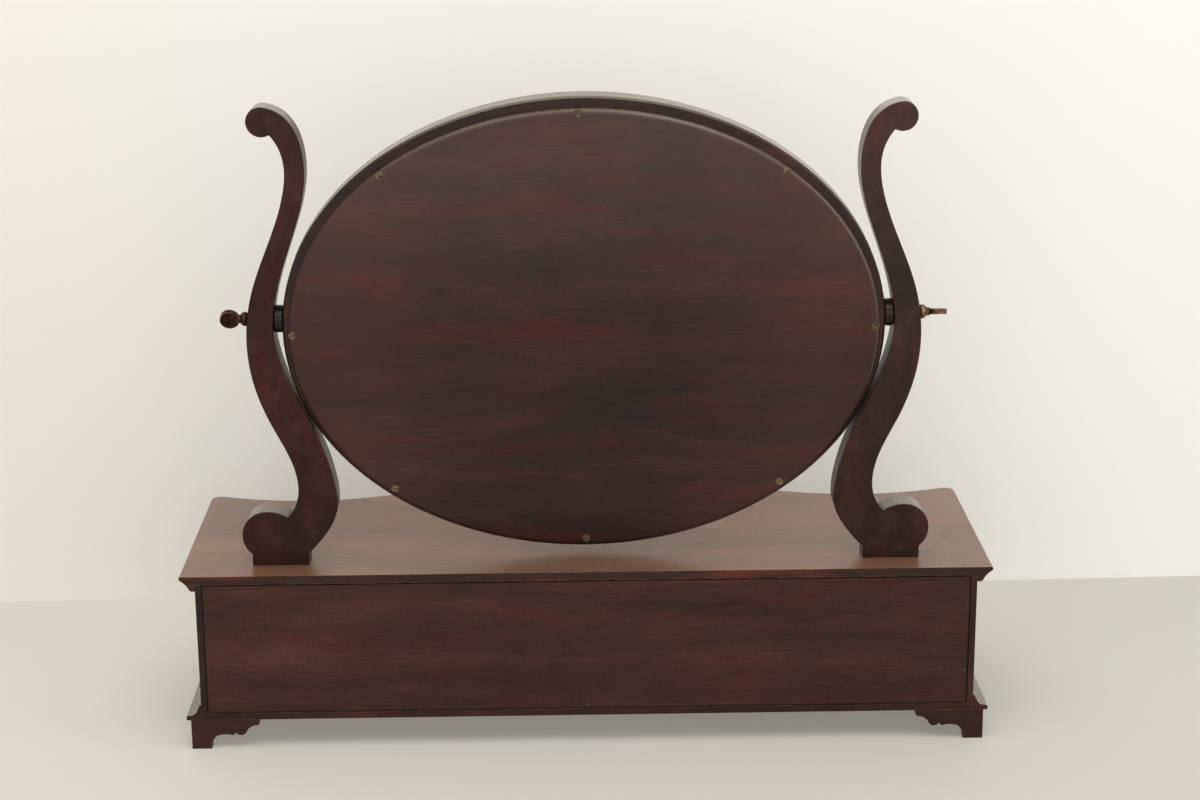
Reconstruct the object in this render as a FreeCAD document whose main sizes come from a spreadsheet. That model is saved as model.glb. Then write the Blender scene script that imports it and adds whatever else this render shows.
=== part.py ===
import FreeCAD, Part
import Sketcher
import math
import os

# A shaving mirror: an oval glass that swings between two scrolled standards, on a box of three drawers.
# Millimetres. X runs along the box, +Y points to the back, +Z up.
# The origin lies on the floor, under the middle of the top board.

SIZES = {
    # the top board and the plan of its front
    "top_width": 736.0,
    "top_depth": 261.0,
    "top_height": 167.6,
    "top_thickness": 8.0,
    "hollow_place": 272.0,
    "hollow_depth": 215.0,
    "hollow_radius": 230.0,
    "corner_radius": 9.0,
    "least_corner": 1.0,
    "top_arris": 0.9,
    "top_nosing": 2.7,
    "top_edge_run": 6.0,
    # the box
    "case_inset": 14.0,
    "side_thickness": 12.0,
    "rabbet_lip": 5.4,
    "panel_thickness": 7.0,
    "panel_recess": 0.6,
    "panel_gap": 0.5,
    "panel_arris": 1.4,
    "floor_thickness": 8.0,
    "rail_height": 10.0,
    "rail_depth": 30.0,
    "divider_place": 192.0,
    "divider_thickness": 10.0,
    "stop_length": 24.0,
    "stop_depth": 12.0,
    "stop_height": 9.0,
    "stop_inset": 20.0,
    "nail_radius": 0.8,
    "nail_head_radius": 1.6,
    "nail_head": 0.8,
    "nail_length": 20.0,
    "nail_drop": 32.0,
    # the mouldings
    "cornice_height": 5.8,
    "cornice_outset": 7.7,
    "cornice_foot": 3.5,
    "base_rail_height": 6.5,
    "base_rail_width": 42.0,
    "base_height": 14.5,
    "base_nosing": 4.2,
    "base_shelf": 4.6,
    "base_arris": 1.0,
    "base_top_edge": 1.6,
    # the bracket feet
    "foot_height": 28.3,
    "foot_inset": 4.0,
    "bracket_length": 62.8,
    "bracket_thickness": 9.0,
    "foot_block": 9.0,
    "foot_block_lift": 3.0,
    # the standards
    "standard_width": 88.0,
    "standard_height": 420.4,
    "standard_thickness": 26.0,
    "standard_waist": 23.0,
    "standard_setback": 28.4,
    "standard_arris": 0.8,
    "standard_screw_inset": 12.0,
    "standard_screw_length": 30.0,
    "standard_screw_radius": 2.0,
    "standard_screw_head": 4.0,
    # the swinging mirror
    "mirror_tilt": 6.0,
    "mirror_drop": 9.1,
    "ring_length": 536.8,
    "ring_rise": 425.8,
    "ring_width": 27.0,
    "ring_thickness": 22.0,
    "ring_arris": 1.6,
    "ring_shoulder": 5.0,
    "ring_crest": 9.0,
    "ring_crest_flat": 1.0,
    "ring_lip": 6.0,
    "ring_sight_edge": 2.5,
    "rebate_width": 8.0,
    "glass_thickness": 4.0,
    "glass_gap": 0.6,
    "wedge_length": 24.0,
    "wedge_width": 5.0,
    "wedge_height": 8.0,
    "board_thickness": 6.0,
    "board_side_inset": 5.3,
    "board_top_inset": 10.3,
    "board_foot_inset": 3.2,
    "board_edge": 4.0,
    "back_screw_inset": 9.2,
    "back_screw_drop": 1.2,
    "back_screw_head": 3.5,
    "back_screw_head_height": 1.9,
    "back_screw_radius": 1.6,
    "back_screw_length": 16.0,
    "back_screw_slot": 0.8,
    "back_screw_slot_depth": 1.0,
    # the pivots
    "seat_cut": 1.5,
    "seat_clearance": 0.4,
    "spacer_radius": 12.3,
    "spacer_thickness": 9.4,
    "spacer_rim": 1.6,
    "shank_radius": 3.0,
    "shank_clearance": 0.08,
    "shank_grip": 12.0,
    "bush_radius": 4.8,
    "bush_length": 14.0,
    "bead_radius": 6.4,
    "bead_length": 7.0,
    "neck_radius": 3.7,
    "neck_length": 2.4,
    "leaf_length": 17.4,
    "leaf_height": 17.0,
    "leaf_thickness": 5.0,
    "leaf_waist": 2.8,
    "leaf_dish_radius": 30.0,
    "leaf_root": 3.0,
    "right_leaf_turn": 20.0,
    "left_leaf_turn": 78.0,
    # the drawers
    "drawer_gap": 0.8,
    "front_thickness": 14.0,
    "drawer_side": 6.0,
    "drawer_floor": 4.0,
    "drawer_floor_lift": 4.0,
    "drawer_groove": 3.0,
    "drawer_side_drop": 8.0,
    "knob_radius": 7.5,
    "knob_length": 11.0,
    "knob_rose_radius": 7.0,
    "knob_rose": 1.5,
    "knob_lift": 0.15,
    "knob_spigot": 9.0,
    "knob_spigot_radius": 2.0,
    "knob_spacing": 210.0,
    # how far every cutting tool reaches past what it cuts
    "overrun": 2.0,
}

# Inner edge of a standard, from the crest of its head down to its plinth:
# shares of its width, from its innermost point outwards, and of its height.
INNER_EDGE_SHARES = [
    (0.625, 1.0), (0.394, 0.980), (0.205, 0.867), (0.254, 0.791), (0.426, 0.681), (0.562, 0.579),
    (0.583, 0.529), (0.557, 0.484), (0.402, 0.385), (0.168, 0.284), (0.026, 0.189), (0.014, 0.118),
    (0.108, 0.077), (0.318, 0.026),
]
# Outer edge, from the notch above the foot scroll up to the notch under the head.
OUTER_EDGE_SHARES = [
    (0.520, 0.109), (0.409, 0.151), (0.424, 0.213), (0.645, 0.317), (0.825, 0.427), (0.857, 0.510),
    (0.795, 0.600), (0.612, 0.705), (0.445, 0.805), (0.416, 0.886), (0.540, 0.941),
]
# The head's outermost point. Then the foot scroll: its rise, its crest, its outermost point
# and where it meets the plinth.
HEAD_SIDE_SHARE = (0.766, 0.966)
FOOT_RISE_SHARE = (0.631, 0.120)
FOOT_CREST_SHARE = (0.750, 0.1228)
FOOT_SIDE_SHARE = (0.995, 0.068)
FOOT_END_SHARE = (0.900, 0.026)
# The pivot's height on the standard, and how far out its seat lies there.
PIVOT_HEIGHT_SHARE = 0.544
PIVOT_SEAT_SHARE = 0.583

# Lower edge of a bracket, from its corner inwards: shares of its length and of the foot's height.
# Three points make an arc, two a straight run.
BRACKET_RUN_SHARES = [
    [(0.0, 0.0), (0.287, 0.0)],
    [(0.287, 0.0), (0.303, 0.253), (0.374, 0.452)],
    [(0.374, 0.452), (0.495, 0.494), (0.605, 0.452)],
    [(0.605, 0.452), (0.648, 0.541)],
    [(0.648, 0.541), (0.721, 0.459), (0.793, 0.541)],
    [(0.793, 0.541), (0.856, 0.722), (0.967, 0.795)],
    [(0.967, 0.795), (0.992, 0.848), (1.0, 0.918)],
    [(1.0, 0.918), (1.0, 1.0)],
]

# The moulded edges, each as shares of its run inwards and of its height.
TOP_EDGE_SHARES = [(0.40, 0.36), (0.68, 0.60), (0.87, 0.81), (1.0, 1.0)]
CORNICE_SHARES = [(0.0, 0.0), (0.10, 0.17), (0.38, 0.45), (0.62, 0.78), (1.0, 1.0)]
BASE_COVE_SHARES = [(0.0, 0.0), (0.30, 0.10), (0.62, 0.36), (0.86, 0.70), (1.0, 1.0)]
# The ring's rounded front, outside its crest and inside it, and the back board's rounded edge.
SHOULDER_SHARES = [(0.0, 1.0), (0.06, 0.62), (0.25, 0.28), (0.55, 0.08), (1.0, 0.0)]
SIGHT_SHARES = [(0.0, 0.0), (0.30, 0.14), (0.60, 0.42), (0.85, 0.78), (1.0, 1.0)]
BOARD_EDGE_SHARES = [(0.0, 0.0), (0.13, 0.50), (0.40, 0.80), (0.70, 0.96), (1.0, 1.0)]
# The thumb screw's bead, the knob and the spacer: shares of length and of radius.
BEAD_SHARES = [(0.0, 0.72), (0.12, 0.90), (0.32, 1.0), (0.55, 1.0), (0.78, 0.88), (1.0, 0.60)]
KNOB_SHARES = [
    (0.0, 0.45), (0.25, 0.50), (0.42, 0.88), (0.58, 1.0), (0.78, 0.94), (0.93, 0.62), (1.0, 0.28),
]

# How far the tool that cuts the mitres reaches, inwards and outwards: shares of the moulding's own run.
MITRE_REACH_SHARES = (3, 2)
# Nails along the foot of the back panel, as shares of its half width.
FOOT_NAIL_SHARES = [-0.52, 0.0, 0.52]
# The eight back screws in degrees round the oval, with the turn of each slot.
BACK_SCREW_TURNS = [(0, 20), (47, -35), (89, 70), (133, 5), (179, -60), (227, 40), (270, 85), (312, -15)]
WEDGE_ANGLES = [20, 65, 115, 160, 200, 245, 295, 340]

X_AXIS = FreeCAD.Vector(1, 0, 0)
Y_AXIS = FreeCAD.Vector(0, 1, 0)
Z_AXIS = FreeCAD.Vector(0, 0, 1)
FULL_TURN = 360.0
# How squarely a face looks along an axis to count as facing it.
FACING_SHARE = 0.99
SIDES = (("left", -1), ("right", 1))

doc = FreeCAD.newDocument("ShavingMirror")
sheet = doc.addObject("Spreadsheet::Sheet", "Sizes")
for row, (alias, number) in enumerate(SIZES.items(), start=1):
    sheet.set(f"A{row}", alias)
    sheet.set(f"B{row}", str(number))
    sheet.setAlias(f"B{row}", alias)
doc.recompute()


class Size:
    """A length or place: its number now, and the expression that ties it to the sheet."""

    def __init__(self, number, text):
        self.number = number
        self.text = text

    def __float__(self):
        return float(self.number)

    def __add__(self, other):
        other = sized(other)
        return Size(self.number + other.number, f"({self.text} + {other.text})")

    def __sub__(self, other):
        other = sized(other)
        return Size(self.number - other.number, f"({self.text} - {other.text})")

    def __mul__(self, share):
        share = sized(share)
        return Size(self.number * share.number, f"({self.text} * {share.text})")

    def __rmul__(self, share):
        return self * share

    def __truediv__(self, share):
        return Size(self.number / share, f"({self.text} / {share})")

    def __neg__(self):
        return Size(-self.number, f"(0 - {self.text})")


def sized(value):
    """A plain number as a size."""
    return value if isinstance(value, Size) else Size(float(value), f"({float(value):.9f})")


class Named:
    """Every size in the sheet, under its alias."""

    def __init__(self):
        for alias in SIZES:
            setattr(self, alias, Size(float(sheet.get(alias)), f"Sizes.{alias}"))


s = Named()
ZERO = sized(0)

# Places that many pieces share
back = s.top_depth / 2
top_under = s.top_height - s.top_thickness
case_half = s.top_width / 2 - s.case_inset
inside_half = case_half - s.side_thickness
panel_face = back - s.panel_recess
inside_back = panel_face - s.panel_thickness
base_top = s.foot_height + s.base_rail_height
floor_top = base_top + s.floor_thickness
rail_under = top_under - s.rail_height
drawer_end = inside_back - s.stop_depth
pivot_depth = back - s.standard_setback - s.standard_thickness / 2
pivot_height = s.top_height + s.standard_height * PIVOT_HEIGHT_SHARE
ring_half = s.ring_length / 2
ring_back = s.ring_thickness / 2
ring_seat = ring_half - s.seat_cut
standard_seat = ring_seat + s.spacer_thickness
standard_inner = standard_seat - s.standard_width * PIVOT_SEAT_SHARE
screw_seat = standard_seat + s.standard_waist
hole_radius = s.shank_radius + s.shank_clearance


def bind(item, name, value):
    """Tie one property to the sheet."""
    item.setExpression(name, sized(value).text)


def put(item, place):
    """Tie an object's place to the sheet."""
    for axis, value in zip("xyz", place):
        bind(item, f"Placement.Base.{axis}", value)


def titled(kind, name):
    """A new object whose label is its name."""
    item = doc.addObject(kind, name)
    item.Label = name
    return item


def box(name, corner, opposite):
    """A board between two opposite corners."""
    item = titled("Part::Box", name)
    low = [min(pair, key=float) for pair in zip(corner, opposite)]
    high = [max(pair, key=float) for pair in zip(corner, opposite)]
    for side, a, b in zip(("Length", "Width", "Height"), low, high):
        bind(item, side, sized(b) - a)
    put(item, low)
    return item


def rod(name, radius, start, length, axis):
    """A round bar from a start point along an axis."""
    item = titled("Part::Cylinder", name)
    bind(item, "Radius", radius)
    bind(item, "Height", length)
    item.Placement = FreeCAD.Placement(FreeCAD.Vector(), FreeCAD.Rotation(Z_AXIS, axis))
    put(item, start)
    return item


def cone(name, radius, far_radius, start, length, axis):
    """A cone from a start point along an axis."""
    item = titled("Part::Cone", name)
    bind(item, "Radius1", radius)
    bind(item, "Radius2", far_radius)
    bind(item, "Height", length)
    item.Placement = FreeCAD.Placement(FreeCAD.Vector(), FreeCAD.Rotation(Z_AXIS, axis))
    put(item, start)
    return item


def cut(name, base, *tools):
    """The base without its tools."""
    item = base
    for index, tool in enumerate(tools, start=1):
        step = titled("Part::Cut", name if index == len(tools) else f"{name}_cut_{index}")
        step.Base = item
        step.Tool = tool
        item = step
    return item


def common(name, first, second):
    """What two solids share."""
    item = titled("Part::Common", name)
    item.Base = first
    item.Tool = second
    return item


def fuse(name, *parts):
    """Several solids as one."""
    item = titled("Part::MultiFuse", name)
    item.Shapes = list(parts)
    return item


def group(name, *parts):
    """Separate solids in one node."""
    item = titled("Part::Compound", name)
    item.Links = list(parts)
    return item


def feature(name, shape):
    """A solid bounded by curves that are worked out from the sheet."""
    item = titled("Part::Feature", name)
    item.Shape = shape
    return item


def outline_on(body, role, points):
    """A closed outline on one of the body's own planes, with every corner tied to the sheet."""
    sketch = body.newObject("Sketcher::SketchObject", f"{body.Name}_outline")
    plane = next(item for item in body.Origin.OriginFeatures if item.Role == role)
    sketch.AttachmentSupport = [(plane, "")]
    sketch.MapMode = "FlatFace"
    corners = [FreeCAD.Vector(float(u), float(v), 0) for u, v in points]
    count = len(corners)
    for index in range(count):
        sketch.addGeometry(Part.LineSegment(corners[index], corners[(index + 1) % count]), False)
    for index in range(count):
        sketch.addConstraint(Sketcher.Constraint("Coincident", index, 2, (index + 1) % count, 1))
    for index, place in enumerate(points):
        for kind, axis, value in zip(("DistanceX", "DistanceY"), (-2, -1), place):
            if sized(value).text == ZERO.text:
                sketch.addConstraint(Sketcher.Constraint("PointOnObject", index, 1, axis))
                continue
            at = sketch.addConstraint(Sketcher.Constraint(kind, -1, 1, index, 1, float(value)))
            bind(sketch, f"Constraints[{at}]", value)
    return sketch


def prism(name, role, points, length):
    """A straight board: an outline padded from its plane."""
    body = titled("PartDesign::Body", name)
    pad = body.newObject("PartDesign::Pad", f"{name}_pad")
    pad.Profile = outline_on(body, role, points)
    bind(pad, "Length", length)
    body.Tip = pad
    return body


def turned(name, points):
    """A turned piece: its half outline, along X and out along Y, revolved about the X axis."""
    body = titled("PartDesign::Body", name)
    sketch = outline_on(body, "XY_Plane", points)
    turn = body.newObject("PartDesign::Revolution", f"{name}_turn")
    turn.Profile = sketch
    turn.ReferenceAxis = (sketch, ["H_Axis"])
    turn.Angle = FULL_TURN
    body.Tip = turn
    return body


def oval_wire(half_length, half_rise, place):
    """An upright ellipse that faces along Y, in two halves that meet on its upright axis."""
    centre = FreeCAD.Vector(*(float(value) for value in place))
    side = centre + X_AXIS * float(half_length)
    top = centre + Z_AXIS * float(half_rise)
    lying = float(half_length) >= float(half_rise)
    curve = Part.Ellipse(side, top, centre) if lying else Part.Ellipse(top, side, centre)
    first = math.pi / 2 if lying else 0.0
    starts = (first, first + math.pi)
    return Part.Wire([Part.ArcOfEllipse(curve, start, start + math.pi).toShape() for start in starts])


def oval_solid(name, half_length, half_rise, centre, levels):
    """A solid of ellipses, each level an inset and a depth along Y."""
    x, z = centre
    wires = [oval_wire(half_length - inset, half_rise - inset, (x, depth, z)) for inset, depth in levels]
    return feature(name, Part.makeLoft(wires, True, True))


class Plan:
    """The serpentine plan at one inset from the top board's edge: arcs about fixed centres."""

    def __init__(self, inset):
        inset = float(inset)
        self.half = float(s.top_width) / 2 - inset
        front = float(back) - float(s.top_depth)
        hollow_radius = float(s.hollow_radius)
        reach = float(s.hollow_place)
        self.hollow = FreeCAD.Vector(reach, float(back) - float(s.hollow_depth) - hollow_radius, 0)
        gap = front - self.hollow.y
        bow_radius = (reach ** 2 + gap ** 2 - hollow_radius ** 2) / (2 * (hollow_radius - gap))
        self.bow = FreeCAD.Vector(0, front + bow_radius, 0)
        self.turn = math.atan2(reach, self.bow.y - self.hollow.y)
        self.hollow_radius = hollow_radius + inset
        self.bow_radius = bow_radius - inset
        self.fillet = max(float(s.corner_radius) - inset, float(s.least_corner))

    def bow_point(self, angle):
        """A point of the middle bow, at an angle from the centre line."""
        across = self.bow_radius * math.sin(angle)
        return FreeCAD.Vector(across, self.bow.y - self.bow_radius * math.cos(angle), 0)

    def hollow_point(self, x):
        """A point of the right hollow."""
        rise = math.sqrt(self.hollow_radius ** 2 - (x - self.hollow.x) ** 2)
        return FreeCAD.Vector(x, self.hollow.y + rise, 0)

    def edges(self):
        """From the back right corner round the front to the back left corner, and back."""
        centre_x = self.half - self.fillet
        lift = math.sqrt((self.hollow_radius + self.fillet) ** 2 - (centre_x - self.hollow.x) ** 2)
        centre = FreeCAD.Vector(centre_x, self.hollow.y + lift, 0)
        inward = (self.hollow - centre).normalize()
        meet = centre + inward * self.fillet
        side = FreeCAD.Vector(self.half, centre.y, 0)
        middle = centre + (inward + X_AXIS).normalize() * self.fillet
        joint = self.bow_point(self.turn)
        hollow_middle = self.hollow_point((joint.x + meet.x) / 2)
        behind = FreeCAD.Vector(self.half, float(back), 0)
        half = [
            (behind, side),
            (side, middle, meet),
            (meet, hollow_middle, joint),
        ]
        other = [tuple(flipped(point) for point in reversed(run)) for run in reversed(half)]
        runs = half + [(joint, self.bow_point(0), flipped(joint))] + other + [(flipped(behind), behind)]
        return [curve_through(run) for run in runs]


def flipped(point):
    """The same point on the other half of the plan."""
    return FreeCAD.Vector(-point.x, point.y, point.z)


def curve_through(points):
    """An edge through its points: two make a straight run, three an arc."""
    curve = Part.LineSegment(*points) if len(points) == 2 else Part.Arc(*points)
    return curve.toShape()


def plan_wire(inset, height):
    """The plan as a closed wire at one height."""
    wire = Part.Wire(Plan(inset).edges())
    wire.translate(Z_AXIS * float(height))
    return wire


def terrace(levels):
    """A solid whose plan steps in and out from level to level: pairs of inset and height, upwards."""
    return Part.makeLoft([plan_wire(inset, height) for inset, height in levels], True, True)


def plan_slab(inset, low, high, setback=ZERO):
    """The plan at one inset between two heights, moved back by a setback."""
    slab = Part.Face(plan_wire(inset, low)).extrude(Z_AXIS * float(high - low))
    slab.translate(Y_AXIS * float(setback))
    return slab


def inner_tool(name, inset, setback=ZERO):
    """A tall slab of the plan that trims boards along the front."""
    return feature(name, plan_slab(inset, -s.overrun, s.top_height + s.overrun, setback))


def strip_tool(name, inset, depth):
    """A tall strip along the serpentine front, of one depth."""
    low = -s.overrun
    high = s.top_height + s.overrun
    inside = plan_slab(inset, low - s.overrun, high + s.overrun, depth)
    return feature(name, plan_slab(inset, low, high).cut(inside))


def mitre_wedge():
    """The space in front of both mitres of the mouldings."""
    outer = Plan(ZERO)
    inner = Plan(s.case_inset)
    tip = outer.hollow_point(outer.half)
    run = tip - inner.hollow_point(inner.half)
    inwards, outwards = MITRE_REACH_SHARES
    far = tip + run * outwards
    near = tip - run * inwards
    front = FreeCAD.Vector(far.x, -float(s.top_depth), 0)
    points = [near, far, front, flipped(front), flipped(far), flipped(near), near]
    return Part.Face(Part.makePolygon(points)).extrude(Z_AXIS * float(s.top_height))


def mitred(name, levels, core_low, core_high):
    """A moulding round the ends and the front, cut at its mitres into three lengths."""
    core = plan_slab(s.case_inset, core_low - s.overrun, core_high + s.overrun)
    ring = terrace(levels).cut(core)
    wedge = mitre_wedge()
    ends = sorted(ring.cut(wedge).Solids, key=lambda solid: solid.CenterOfMass.x)
    feature(f"{name}_front", ring.common(wedge).Solids[0])
    feature(f"{name}_left", ends[0])
    feature(f"{name}_right", ends[-1])


def make_top_board():
    """The top: a thin nosing with a small hollow under it on the ends and the front."""
    start = s.top_height - s.top_nosing
    fall = start - top_under
    levels = [(s.top_arris, s.top_height), (ZERO, s.top_height - s.top_arris), (ZERO, start)]
    levels += [(s.top_edge_run * inwards, start - fall * down) for inwards, down in TOP_EDGE_SHARES]
    blank = feature("top_board_blank", terrace(reversed(levels)))
    cut("top_board", blank, make_standard_screws())


def make_cornice():
    """The cove moulding under the top."""
    start = s.case_inset - s.cornice_outset
    run = s.cornice_outset - s.cornice_foot
    height = s.cornice_height
    levels = [(start + run * inwards, top_under - height * down) for inwards, down in CORNICE_SHARES]
    mitred("cornice", reversed(levels), top_under - height, top_under)


def make_base_moulding():
    """A round nosing, a small shelf, and a cove that runs up to the box."""
    low = s.foot_height
    shelf = low + s.base_nosing
    top = low + s.base_height
    run = s.case_inset - s.base_top_edge - s.base_shelf
    arris = s.base_arris
    levels = [(arris, low), (ZERO, low + arris), (ZERO, shelf - arris), (arris, shelf)]
    rise = top - shelf
    levels += [(s.base_shelf + run * inwards, shelf + rise * up) for inwards, up in BASE_COVE_SHARES[1:]]
    mitred("base_moulding", levels, low, top)


def make_case(plan):
    """The box without its back: ends, floor, curved rail and partitions."""
    lip = case_half - s.rabbet_lip
    for side, sign in SIDES:
        outer = case_half * sign
        inner = inside_half * sign
        blank = box(f"side_blank_{side}", (outer, -back, base_top), (inner, back, top_under))
        shaped = common(f"side_plan_{side}", blank, plan)
        rabbet = box(
            f"side_rabbet_{side}",
            (lip * sign, inside_back, base_top - s.overrun),
            ((inside_half - s.overrun) * sign, back + s.overrun, top_under + s.overrun),
        )
        cut(f"side_panel_{side}", shaped, rabbet, doc.getObject("back_nails"))
    floor = box("floor_blank", (-inside_half, -back, base_top), (inside_half, inside_back, floor_top))
    cut("bottom_board", common("floor_plan", floor, plan), doc.getObject("back_nails"))
    rail = box("rail_blank", (-inside_half, -back, rail_under), (inside_half, back, top_under))
    rail = common("top_rail", rail, strip_tool("rail_strip", s.case_inset, s.rail_depth))
    half = s.divider_thickness / 2
    for side, sign in SIDES:
        middle = s.divider_place * sign
        blank = box(f"divider_blank_{side}", (middle - half, -back, floor_top),
                    (middle + half, inside_back, top_under))
        cut(f"divider_{side}", common(f"divider_plan_{side}", blank, plan), rail)


def make_back_panel():
    """The back panel with a softened top edge, and the nails that hold it to the ends and the floor."""
    half = case_half - s.rabbet_lip - s.panel_gap
    low = base_top + s.panel_gap / 2
    high = top_under - s.panel_gap / 2
    outline = [
        (inside_back, low),
        (panel_face, low),
        (panel_face, high - s.panel_arris),
        (panel_face - s.panel_arris, high),
        (inside_back, high),
    ]
    blank = prism("back_panel_blank", "YZ_Plane", outline, half * 2)
    put(blank, (-half, ZERO, ZERO))
    side = (inside_half + half) / 2
    heights = (high - s.nail_drop, low + s.nail_drop)
    places = [(side * sign, height) for name, sign in SIDES for height in heights]
    places += [(half * share, base_top + s.floor_thickness / 2) for share in FOOT_NAIL_SHARES]
    nails = []
    for index, (x, z) in enumerate(places, start=1):
        start = (x, panel_face, z)
        shank = rod(f"nail_shank_{index}", s.nail_radius, start, s.nail_length, -Y_AXIS)
        head = rod(f"nail_head_{index}", s.nail_head_radius, start, s.nail_head, -Y_AXIS)
        nails.append(fuse(f"nail_{index}", shank, head))
    cut("back_panel", blank, group("back_nails", *nails))


def make_base_rails():
    """Four rails under the box; the long ones run through to the ends."""
    width = s.base_rail_width
    low = s.foot_height
    box("base_rail_back", (-case_half, back - width, low), (case_half, back, base_top))
    blank = box("base_rail_front_blank", (-case_half, -back, low), (case_half, back, base_top))
    common("base_rail_front", blank, strip_tool("base_rail_strip", s.case_inset, width))
    behind = inner_tool("base_rail_inner", s.case_inset, width)
    for side, sign in SIDES:
        blank = box(
            f"base_rail_blank_{side}",
            (case_half * sign, -back, low),
            ((case_half - width) * sign, back - width, base_top),
        )
        common(f"base_rail_{side}", blank, behind)


def bracket_solid(corner, toward, depth):
    """A scrolled bracket: its face runs from a corner towards one side, and it is extruded by its depth."""
    length = float(s.bracket_length)
    height = float(s.foot_height)
    runs = [
        [corner + toward * (across * length) + Z_AXIS * (up * height) for across, up in run]
        for run in BRACKET_RUN_SHARES
    ]
    top_corner = corner + Z_AXIS * height
    runs += [[runs[-1][-1], top_corner], [top_corner, corner]]
    return Part.Face(Part.Wire([curve_through(run) for run in runs])).extrude(depth)


def make_feet():
    """Eight brackets, two at each corner, and a glued block inside each corner."""
    outer = s.top_width / 2 - s.foot_inset
    thick = float(s.bracket_thickness)
    foot = Plan(s.foot_inset)
    front_strip = strip_tool("foot_strip", s.foot_inset, s.bracket_thickness)
    behind = inner_tool("foot_inner", s.foot_inset, s.bracket_thickness)
    front_line = back - s.hollow_depth + s.bracket_thickness
    blocks = []
    for side, sign in SIDES:
        inwards = X_AXIS * -sign
        rear = FreeCAD.Vector(sign * float(outer), float(back), 0)
        rear_item = feature(f"rear_bracket_{side}", bracket_solid(rear, inwards, Y_AXIS * -thick))
        plate = feature(f"side_rear_blank_{side}", bracket_solid(rear, -Y_AXIS, inwards * thick))
        cut(f"side_bracket_rear_{side}", plate, rear_item)
        tip = foot.hollow_point(foot.half)
        front = FreeCAD.Vector(sign * tip.x, tip.y, 0)
        swept = bracket_solid(front - Y_AXIS * thick, inwards, Y_AXIS * (float(s.top_depth) / 2))
        common(f"front_bracket_{side}", feature(f"front_blank_{side}", swept), front_strip)
        plate = feature(f"side_front_blank_{side}", bracket_solid(front, Y_AXIS, inwards * thick))
        common(f"side_bracket_front_{side}", plate, behind)
        near = (outer - s.bracket_thickness) * sign
        far = near - s.foot_block * sign
        lift = s.foot_block_lift
        rear_line = back - s.bracket_thickness
        blocks.append(box(f"rear_block_{side}", (near, rear_line, lift),
                          (far, rear_line - s.foot_block, s.foot_height)))
        block = box(f"front_block_blank_{side}", (near, -back, lift),
                    (far, front_line + s.foot_block / 2, s.foot_height))
        blocks.append(common(f"front_block_{side}", block, behind))
    group("foot_blocks", *blocks)


def make_standard_screws():
    """Two screws under each standard, their heads sunk in the underside of the top."""
    screws = []
    for side, sign in SIDES:
        inner = standard_inner + s.standard_width * INNER_EDGE_SHARES[-1][0] + s.standard_screw_inset
        outer = standard_inner + s.standard_width * FOOT_END_SHARE[0] - s.standard_screw_inset
        for name, x in (("inner", inner), ("outer", outer)):
            start = (x * sign, pivot_depth, top_under)
            drop = s.standard_screw_head - s.standard_screw_radius
            head = cone(f"standard_head_{name}_{side}", s.standard_screw_head, s.standard_screw_radius,
                        start, drop, Z_AXIS)
            shank = rod(f"standard_shank_{name}_{side}", s.standard_screw_radius,
                        start, s.standard_screw_length, Z_AXIS)
            screws.append(fuse(f"standard_screw_{name}_{side}", head, shank))
    return group("standard_screws", *screws)


def standard_outline(sign):
    """The scrolled face of a standard: two long S curves, a round head, a foot scroll and a plinth."""
    width = float(s.standard_width)
    height = float(s.standard_height)
    origin = FreeCAD.Vector(float(standard_inner), float(back - s.standard_setback), float(s.top_height))

    def at(share):
        across, up = share
        x = origin.x + across * width
        return FreeCAD.Vector(sign * x, origin.y, origin.z + up * height)

    def long_curve(shares):
        curve = Part.BSplineCurve()
        curve.interpolate([at(share) for share in shares])
        return curve.toShape()

    plinth_inner = (INNER_EDGE_SHARES[-1][0], 0.0)
    plinth_outer = (FOOT_END_SHARE[0], 0.0)
    edges = [
        long_curve(INNER_EDGE_SHARES),
        curve_through([at(INNER_EDGE_SHARES[-1]), at(plinth_inner)]),
        curve_through([at(plinth_inner), at(plinth_outer)]),
        curve_through([at(plinth_outer), at(FOOT_END_SHARE)]),
        curve_through([at(FOOT_END_SHARE), at(FOOT_SIDE_SHARE), at(FOOT_CREST_SHARE)]),
        curve_through([at(FOOT_CREST_SHARE), at(FOOT_RISE_SHARE), at(OUTER_EDGE_SHARES[0])]),
        long_curve(OUTER_EDGE_SHARES),
        curve_through([at(OUTER_EDGE_SHARES[-1]), at(HEAD_SIDE_SHARE), at(INNER_EDGE_SHARES[0])]),
    ]
    return Part.Face(Part.Wire(edges))


def softened(solid):
    """A standard with the edges of its scrolled faces rounded, down to the plinth."""
    low = float(s.top_height + s.standard_arris)
    faces = [face for face in solid.Faces if abs(face.normalAt(0, 0).y) > FACING_SHARE]
    edges = [edge for face in faces for edge in face.Edges if edge.BoundBox.ZMax > low]
    return solid.makeFillet(float(s.standard_arris), edges)


def make_standards():
    """The two uprights, with flat seats and a clear hole at the pivot."""
    for side, sign in SIDES:
        outward = X_AXIS * sign
        solid = standard_outline(sign).extrude(-Y_AXIS * float(s.standard_thickness))
        blank = feature(f"standard_blank_{side}", softened(solid))
        start = ((standard_inner - s.overrun) * sign, pivot_depth, pivot_height)
        hole = rod(f"standard_hole_{side}", hole_radius, start, s.standard_width + s.overrun * 2, outward)
        inner_seat = rod(f"standard_inner_seat_{side}", s.spacer_radius + s.seat_clearance,
                         start, standard_seat - standard_inner + s.overrun, outward)
        outer_seat = rod(f"standard_outer_seat_{side}", s.bead_radius + s.seat_clearance,
                         (screw_seat * sign, pivot_depth, pivot_height), s.standard_waist, outward)
        cut(f"standard_{side}", blank, hole, inner_seat, outer_seat, doc.getObject("standard_screws"))


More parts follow.
